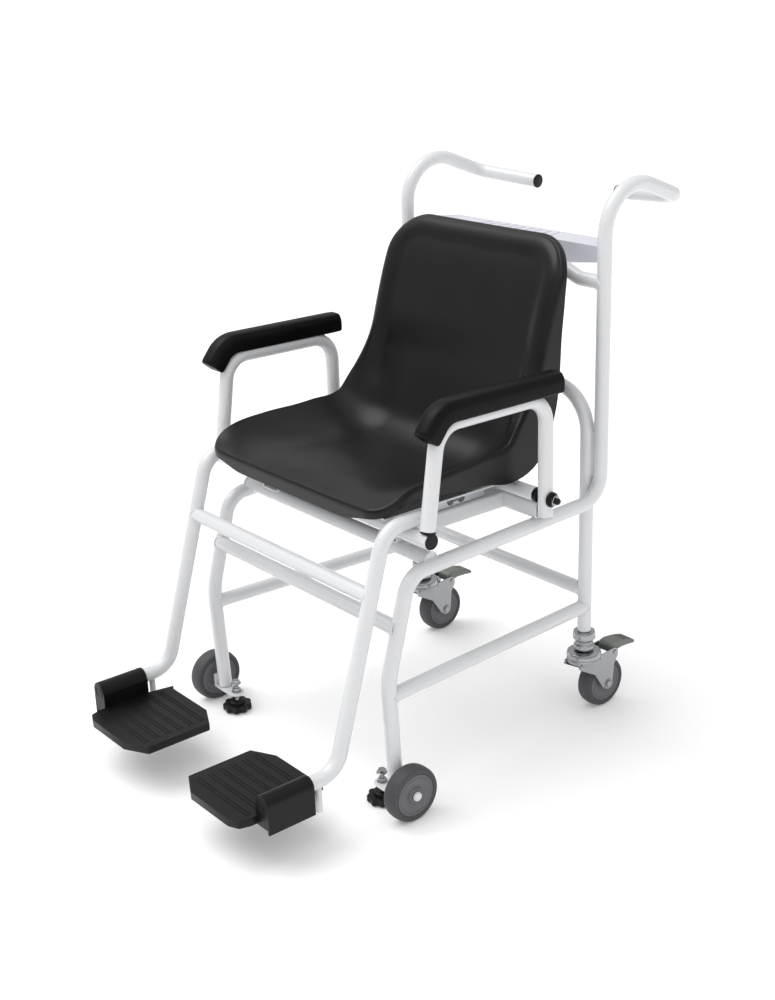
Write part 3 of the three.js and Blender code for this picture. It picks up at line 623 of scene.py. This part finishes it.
# ---------- castors ----------
def cheek(x):
    pin_y, pin_z, trail = 62, 108, 45.4
    outline = [(-29, 108), (-31, 100), (8, 78), (trail - 12.5, AXLE_Z - 7)]
    for i in range(9):
        angle = math.pi * (1.12 + 0.11 * i)
        outline.append((trail + 11.5 * math.cos(angle), AXLE_Z + 11.5 * math.sin(angle)))
    outline += [(trail + 15, 84), (pin_y + 8, pin_z - 8), (pin_y + 8, pin_z + 4),
                (pin_y, pin_z + 9), (20, 113)]
    return prism(outline, "yz", x, x + 3)


for side, s in SIDES:
    at = (s * HOOP_X, HOOP_Y, 0)
    cad = f"castor_fork_{side}"
    ring = lathe([(5.3, 104), (28, 104), (31, 105.2), (32, 107.5), (32, 112), (31, 113.2),
                  (31, 114.4), (32, 115.6), (32, 121), (30.5, 124.5), (27, 126.4), (22, 127),
                  (5.3, 127), (5.3, 104)], "z", 72)
    piece(cad + "_form", moved(ring, *at), cad)
    cheeks = merged(cheek(-22), cheek(19), block(-20, 20, -24, 24, 101.5, 107))
    piece(cad + "_cheeks", moved(cheeks, *at), cad, False, bevel=1.1)
    axle = lathe([(0, -21), (4, -21), (4, 21), (0, 21)], "x", 24)
    ends = [merged(washer(4, 9, 22, 23.4), hex_head(13, 23.4, 25.9)),
            flipped(merged(washer(4, 9, 22, 23.4), hex_head(13, 23.4, 25.9)), -1)]
    pins = [lathe([(0, e * 22), (4.6, e * 22), (4.6, e * 23.4), (3.6, e * 24.2), (0, e * 24.4)], "x", 24)
            for e in (1, -1)]
    bolts = merged(moved(merged(axle, *ends), 0, 45.4, AXLE_Z), moved(merged(*pins), 0, 62, 108))
    piece(cad + "_axle", moved(bolts, *at), cad, False)

    cad = f"castor_stem_{side}"
    stem = lathe([(0, 112), (5, 112), (5, 127.6), (16, 127.6), (18.4, 129.4), (19, 131), (19, 138.4),
                  (18, 140), (15.6, 141), (15, 142), (15, 143.6), (16.4, 144.6), (16.4, 146),
                  (15, 147), (15, 149.2), (19.2, 150), (20.5, 151.6), (20.5, 163), (19.4, 165.2),
                  (13, 165.6), (0, 165.6)], "z", 64)
    piece(cad + "_form", moved(stem, *at), cad)

    cad = f"castor_brake_pedal_{side}"
    outline = [(56, 105), (64, 103), (84, 108), (104, 107.2), (120, 105), (124, 107.5), (122, 111.5),
               (117, 114.5), (104, 118.5), (90, 121.6), (70, 124), (60, 122), (56, 117)]
    plate = prism(outline, "yz", -15.6, 15.6)
    piece(cad + "_form", moved(plate, *at), cad, bevel=1.8)
    ribs = [prism([(y, z), (y + 2.6, z - 0.9), (y + 2.6, z + 1.3), (y, z + 2.1)], "yz", -13, 13)
            for y, z in ((96, 119.3), (101, 118), (106, 116.6), (111, 115.3))]
    piece(cad + "_ribs", moved(merged(*ribs), *at), cad, False, bevel=0.4)
    pivot = lathe([(0, -18.7), (3.4, -18.7), (3.4, 18.7), (0, 18.7)], "x", 24)
    piece(cad + "_pivot", moved(pivot, s * HOOP_X, HOOP_Y + 62, 108), cad, False, slot="chrome_steel")


# ---------- weighed frame ----------
for side, s in SIDES:
    cad = f"footrest_tube_{side}"
    stub = lathe([(0, 62), (4.8, 62), (5.5, 62.8), (5.5, 112), (0, 112)], "z", 32)
    stub = moved(stub, s * FOOT_X, -632, 0)
    piece(cad + "_form", merged(tube(FOOT_PATHS[s]), stub), cad)
    arm = (mirrored(ARM_PATH[0], s), ARM_PATH[1])
    piece(f"arm_tube_{side}_form", tube(arm), f"arm_tube_{side}")
    plug = moved(lathe([(0, -2), (12.2, -2), (12.6, -0.2), (0, -0.2)]), s * ARM_X, PIVOT_Y, 451)
    piece(f"arm_tube_{side}_plug", plug, f"arm_tube_{side}", False, slot="black_plastic")
    rounded_node(f"seat_rail_{side}", 0.8)
    rounded_node(f"load_cell_{side}", 0.6)
    screw = moved(lathe([(0, 466), (9, 466), (10, 468), (10, 480), (8, 482), (0, 482)], "z", 32),
                  s * 197, -395, 7)
    piece(f"seat_buffer_{side}", screw, f"seat_rail_{side}", False, slot="black_plastic")


# ---------- armrest pads ----------
PAD_SECTION = [(-20.2, -14), (-20.2, 3), (-18.5, 9), (-13.5, 16.6), (-8.5, 18.6), (8.5, 18.6),
               (13.5, 16.6), (18.5, 9), (20.2, 3), (20.2, -14), (16.5, -16.5), (-16.5, -16.5)]


def pad_mesh():
    stations = bent_path(*PAD_PATH, step=math.radians(6))
    start, end = stations[0], stations[-1]
    rows = [(start[0], start[1], 0.86), (start[0] + start[1] * 3, start[1], 0.97)]
    for i in range(1, 12):
        rows.append((start[0].lerp(stations[1][0], i / 12), start[1], 1.0))
    rows += [(p, t, 1.0) for p, t in stations[1:-1]]
    rows += [(stations[-2][0].lerp(end[0], f), end[1], 1.0) for f in (0.35, 0.75)]
    rows += [(end[0] - end[1] * 2, end[1], 0.98), (end[0] + end[1] * 1.5, end[1], 0.88)]
    path = [(p, t) for p, t, _ in rows]
    points, faces = sweep(path, PAD_SECTION, side=(1, 0, 0), sizes=[r[2] for r in rows])
    return points, faces


for side, s in SIDES:
    cad = f"arm_pad_{side}"
    points, faces = pad_mesh()
    made = piece(cad + "_form", flipped((points, faces), s), cad, bevel=2.2, segments=4)


# ---------- footplates ----------
def footplate_ribs():
    ribs = []
    for y in (-748, -726, -704, -682, -660, -638):
        for step in (0, 6.5):
            low = 80 if -752 < y + step < -630 else 100
            ribs.append(prism([(y + step - 1.4, 91.6), (y + step + 1.4, 91.6), (y + step + 0.8, 93.1),
                               (y + step - 0.8, 93.1)], "yz", low, 226))
    return merged(*ribs)


def footplate_underside():
    bars = [block(x - 1.2, x + 1.2, -765, -618, 72, 79) for x in (110, 140, 170, 200)]
    bars += [block(74, 228, y - 1.2, y + 1.2, 72, 79) for y in (-745, -718, -691, -664, -637)]
    return merged(*bars)


for side, s in SIDES:
    cad = f"footplate_{side}"
    rounded_node(cad, 2.0, 4)
    piece(cad + "_ribs", flipped(footplate_ribs(), s), cad, False, bevel=0.3, segments=2)
    piece(cad + "_underside", flipped(footplate_underside(), s), cad, False, bevel=0.3, segments=2)
    ring = lathe([(9.5, -738.9), (12.6, -738.9), (13.2, -738), (9.0, -738), (9.5, -738.9)], "y")
    disc = lathe([(0, -738.6), (5, -738.6), (5.6, -737.8), (0, -737.8)], "y", 32)
    lines = [lathe([(16.2, y - 1), (17.0, y - 0.5), (17.0, y + 0.5), (16.2, y + 1), (16.2, y - 1)], "y")
             for y in (-733, -656)]
    made = moved(flipped(merged(ring, disc, *lines), s), s * FOOT_X, 0, 118)
    piece(cad + "_barrel_rings", made, cad, False)


# ---------- seat ----------
SEAT_POINTS = [(-480, 522), (-440, 525), (-350, 519), (-260, 511), (-200, 513), (-162, 538),
               (-140, 590), (-120, 670), (-97, 760), (-71, 834), (-41, 889)]
PAN_HALF, BACK_HALF, FLARE, SEAT_WALL = 233, 223, 12, 4.2
FRONT_CORNER, TOP_CORNER = 40, 80


# A centripetal Catmull-Rom line through the points, sampled closely.
def seat_line(samples=60):
    p = [Vector((y, z)) for y, z in SEAT_POINTS]
    p = [2 * p[0] - p[1]] + p + [2 * p[-1] - p[-2]]
    out = []
    for a, b, c, d in zip(p, p[1:], p[2:], p[3:]):
        t0, t1, t2 = ((b - a).length ** 0.5, (c - b).length ** 0.5, (d - c).length ** 0.5)
        m1 = ((b - a) / t0 - (c - a) / (t0 + t1) + (c - b) / t1) * t1
        m2 = ((c - b) / t1 - (d - b) / (t1 + t2) + (d - c) / t2) * t1
        for i in range(samples):
            t = i / samples
            out.append(b + m1 * t + (-3 * b + 3 * c - 2 * m1 - m2) * t * t
                       + (2 * b - 2 * c + m1 + m2) * t * t * t)
    out.append(p[-2])
    return np.array([tuple(v) for v in out])


LINE = seat_line()
STEPS = np.concatenate([[0], np.cumsum(np.linalg.norm(np.diff(LINE, axis=0), axis=1))])
SEAT_LENGTH = STEPS[-1]


def on_line(s):
    y, z = np.interp(s, STEPS, LINE[:, 0]), np.interp(s, STEPS, LINE[:, 1])
    lo, hi = max(s - 2, 0), min(s + 2, SEAT_LENGTH)
    ty = np.interp(hi, STEPS, LINE[:, 0]) - np.interp(lo, STEPS, LINE[:, 0])
    tz = np.interp(hi, STEPS, LINE[:, 1]) - np.interp(lo, STEPS, LINE[:, 1])
    size = math.hypot(ty, tz)
    return np.array([0, y, z]), np.array([0, -tz / size, ty / size])


def smooth(x):
    x = min(max(x, 0), 1)
    return x * x * (3 - 2 * x)


# A smooth curve through evenly spaced values.
def along(t, values):
    last = len(values) - 1
    i = min(int(t * last), last - 1)
    f = t * last - i
    a, b, c, d = values[max(i - 1, 0)], values[i], values[i + 1], values[min(i + 2, last)]
    return b + 0.5 * f * (c - a + f * (2 * a - 5 * b + 4 * c - d + f * (3 * (b - c) + d - a)))


RIM_RISE = [4, 26, 37, 45, 53, 53, 44, 26, 10, 6, 5, 4, 4]
LIP_DEPTH = [28, 20, 32, 41, 52, 68, 84, 72, 52, 38, 27, 14, 12]


# The lip is shallower round the front corners, where the footrest tubes pass below it.
def lip_depth(point, t):
    corner = smooth((abs(point[0]) - 140) / 80)
    return along(t, LIP_DEPTH) * (1 - 0.42 * corner * (1 - smooth(t / 0.09)))


def seat_point(u, v):
    s = v * SEAT_LENGTH
    half = PAN_HALF + (BACK_HALF - PAN_HALF) * smooth((v - 0.4) / 0.3)
    half += FLARE * (1 - smooth((v - 0.1) / 0.3))
    corner = FRONT_CORNER if v < 0.5 else TOP_CORNER
    x = abs(u) * half
    far = max(corner - s, s - (SEAT_LENGTH - corner), 0) / corner
    wide = max(x - (half - corner), 0) / corner
    if far > 0 and wide > 0:
        x = half - corner + corner * wide * math.sqrt(1 - far * far / 2)
        shift = corner * (far - far * math.sqrt(1 - wide * wide / 2))
        s += shift if s < SEAT_LENGTH / 2 else -shift
    t = s / SEAT_LENGTH
    point, normal = on_line(s)
    upper = smooth((t - 0.5) / 0.15)
    edge = TOP_CORNER - math.hypot(max(x - half + TOP_CORNER, 0),
                                   max(s - SEAT_LENGTH + TOP_CORNER, 0))
    ridge = along(t, RIM_RISE) * smooth((44 - edge) / 24)
    rolled = 8 * (1 - math.sqrt(1 - 0.95 * min(max(1 - edge / 18, 0), 1) ** 2))
    dish = 5 * (1 - (x / half) ** 2)
    bowl = along(t, RIM_RISE) * max(0, (x / half - 0.5) / 0.5) ** 2
    point = point + normal * (bowl + (ridge - rolled - dish - bowl) * upper)
    point[0] = math.copysign(x, u)
    return point, normal, t


def seat_skin(across, lengthwise):
    grid, faces = [], []
    for j in range(lengthwise + 1):
        for i in range(across + 1):
            u = math.sin(math.pi / 2 * (2 * i / across - 1))
            grid.append(seat_point(u, 0.5 - 0.5 * math.cos(math.pi * j / lengthwise)))
    row = across + 1
    for j in range(lengthwise):
        for i in range(across):
            faces.append((j * row + i, j * row + i + 1, (j + 1) * row + i + 1, (j + 1) * row + i))
    ring = [i for i in range(across)]
    ring += [j * row + across for j in range(lengthwise)]
    ring += [lengthwise * row + i for i in range(across, 0, -1)]
    ring += [j * row for j in range(lengthwise, 0, -1)]
    rim = [grid[k] for k in ring]
    points = [g[0] for g in grid]
    outward = []
    for k, (p, n, t) in enumerate(rim):
        step = rim[(k + 1) % len(rim)][0] - rim[k - 1][0]
        out = np.cross(step, n)
        outward.append(out / np.linalg.norm(out))
    roll = 10.0
    lip = [(roll * math.sin(a), roll * (1 - math.cos(a)), 0.0)
           for a in np.linspace(math.pi / 10, math.pi / 2, 5)]
    lip += [(roll - 0.6 * f, roll, f) for f in (0.15, 0.35, 0.6, 0.8, 0.93, 1.0)]
    last = ring
    for out, down, part in lip:
        fresh = []
        for k, (p, n, t) in enumerate(rim):
            drop = down + part * (lip_depth(p, t) - roll)
            points.append(p + outward[k] * out * 6 / roll - n * drop)
            fresh.append(len(points) - 1)
        count = len(ring)
        faces += [(last[k], fresh[k], fresh[(k + 1) % count], last[(k + 1) % count])
                  for k in range(count)]
        last = fresh
    return np.array(points), faces, last


def seat_mesh():
    size = ((72, 120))
    points, faces, edge = seat_skin(*size)
    data = bpy.data.meshes.new("skin")
    data.from_pydata([tuple(p) for p in points], [], faces)
    normals = np.array([tuple(v.normal) for v in data.vertices])
    bpy.data.meshes.remove(data)
    back = points - normals * SEAT_WALL
    n = len(points)
    both = [tuple(p) for p in points] + [tuple(p) for p in back]
    all_faces = list(faces) + [tuple(n + i for i in reversed(f)) for f in faces]
    count = len(edge)
    for k in range(count):
        a, b = edge[k], edge[(k + 1) % count]
        all_faces.append((a, n + a, n + b, b))
    return both, all_faces


piece("seat_shell_form", seat_mesh(), "seat_shell", sharp=60)


# ---------- indicator ----------
rounded_node("indicator_shell", 2.2, 4)
rounded_node("indicator_face", 1.0, 3)
rounded_node("indicator_bracket", 0.3, 2)
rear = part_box("indicator_face")[1].y * 1000 - SHIFT
frame_ring = hollow_section((-5, 850), 60, 14.5, rear - 1.2, rear + 0.8, "y", wall=3.0)
piece("indicator_bezel", frame_ring, "indicator_face", False, slot="black_plastic", sharp=30)
keys = [moved(prism(rounded_rect(7.4, 7.4, 2.4), "xz", rear - 0.4, rear + 0.5), x, 0, 850)
        for x in (76, 98, 120, 142)]
piece("indicator_keys", merged(*keys), "indicator_face", False, slot="hub_grey", bevel=0.3)
screws = [moved(lathe([(0, rear), (3.4, rear), (3.0, rear + 0.6), (0, rear + 0.8)], "y", 24), x, 0, z)
          for x, z in ((-184, 860), (184, 860), (-90, 860), (160, 860))]
piece("indicator_screws", merged(*screws), "indicator_face", False, slot="chrome_steel")


# ---------- stage, light and camera ----------
def floor():
    reach = 150
    data = bpy.data.meshes.new("floor")
    data.from_pydata([(-reach, -reach, 0), (reach, -reach, 0), (reach, reach, 0),
                      (-reach, reach, 0)], [], [(0, 1, 2, 3)])
    made = bpy.data.objects.new("floor", data)
    bpy.context.scene.collection.objects.link(made)
    paint = bpy.data.materials.new("floor")
    paint.use_nodes = True
    shader = paint.node_tree.nodes["Principled BSDF"]
    shader.inputs["Base Color"].default_value = (0.9, 0.9, 0.9, 1)
    shader.inputs["Roughness"].default_value = 0.9
    shader.inputs["Specular IOR Level"].default_value = 0.1
    shader.inputs["Emission Color"].default_value = (1, 1, 1, 1)
    shader.inputs["Emission Strength"].default_value = 0.14
    data.materials.append(paint)


def world():
    made = bpy.data.worlds.new("studio")
    made.use_nodes = True
    bpy.context.scene.world = made
    tree = made.node_tree
    place = node(tree, "ShaderNodeTexCoord").outputs["Generated"]
    height = node(tree, "ShaderNodeSeparateXYZ", {"Vector": place}).outputs["Z"]
    ramp = node(tree, "ShaderNodeMapRange",
                {"Value": height, "From Min": -0.1, "From Max": 0.9, "To Min": 0.34, "To Max": 0.92})
    seen = node(tree, "ShaderNodeLightPath").outputs["Is Camera Ray"]
    strength = node(tree, "ShaderNodeMath", operation="MAXIMUM")
    tree.links.new(ramp.outputs["Result"], strength.inputs[0])
    tree.links.new(seen, strength.inputs[1])
    tree.links.new(strength.outputs[0], tree.nodes["Background"].inputs["Strength"])
    tree.nodes["Background"].inputs["Color"].default_value = (1, 1, 1, 1)


def sun(name, toward, energy, spread):
    data = bpy.data.lights.new(name, "SUN")
    data.energy = energy
    data.angle = math.radians(spread)
    made = bpy.data.objects.new(name, data)
    made.rotation_mode = "QUATERNION"
    made.rotation_quaternion = Vector(toward).normalized().to_track_quat("-Z", "Y")
    bpy.context.scene.collection.objects.link(made)


def camera():
    azimuth, elevation, roll = math.radians(48.524), math.radians(20.178), -0.01531
    back = Vector((math.sin(azimuth) * math.cos(elevation), -math.cos(azimuth) * math.cos(elevation),
                   math.sin(elevation)))
    data = bpy.data.cameras.new("camera")
    data.lens = 52.069
    data.sensor_width = 36
    data.shift_x, data.shift_y = -0.075, -0.003
    data.dof.use_dof = False
    data.clip_end = 200
    made = bpy.data.objects.new("camera", data)
    made.location = (1.89414, (-1768.89 + SHIFT) / 1000, 1.31762)
    made.rotation_mode = "QUATERNION"
    turn = (-back).to_track_quat("-Z", "Y")
    made.rotation_quaternion = Matrix.Rotation(roll, 3, back).to_quaternion() @ turn
    bpy.context.scene.collection.objects.link(made)
    bpy.context.scene.camera = made


floor()
world()
sun("key", (0.45, 0.35, -1.0), 1.55, 45)
sun("fill", (-0.8, 0.6, -0.9), 0.35, 60)
camera()
bpy.context.scene.view_settings.view_transform = "Standard"
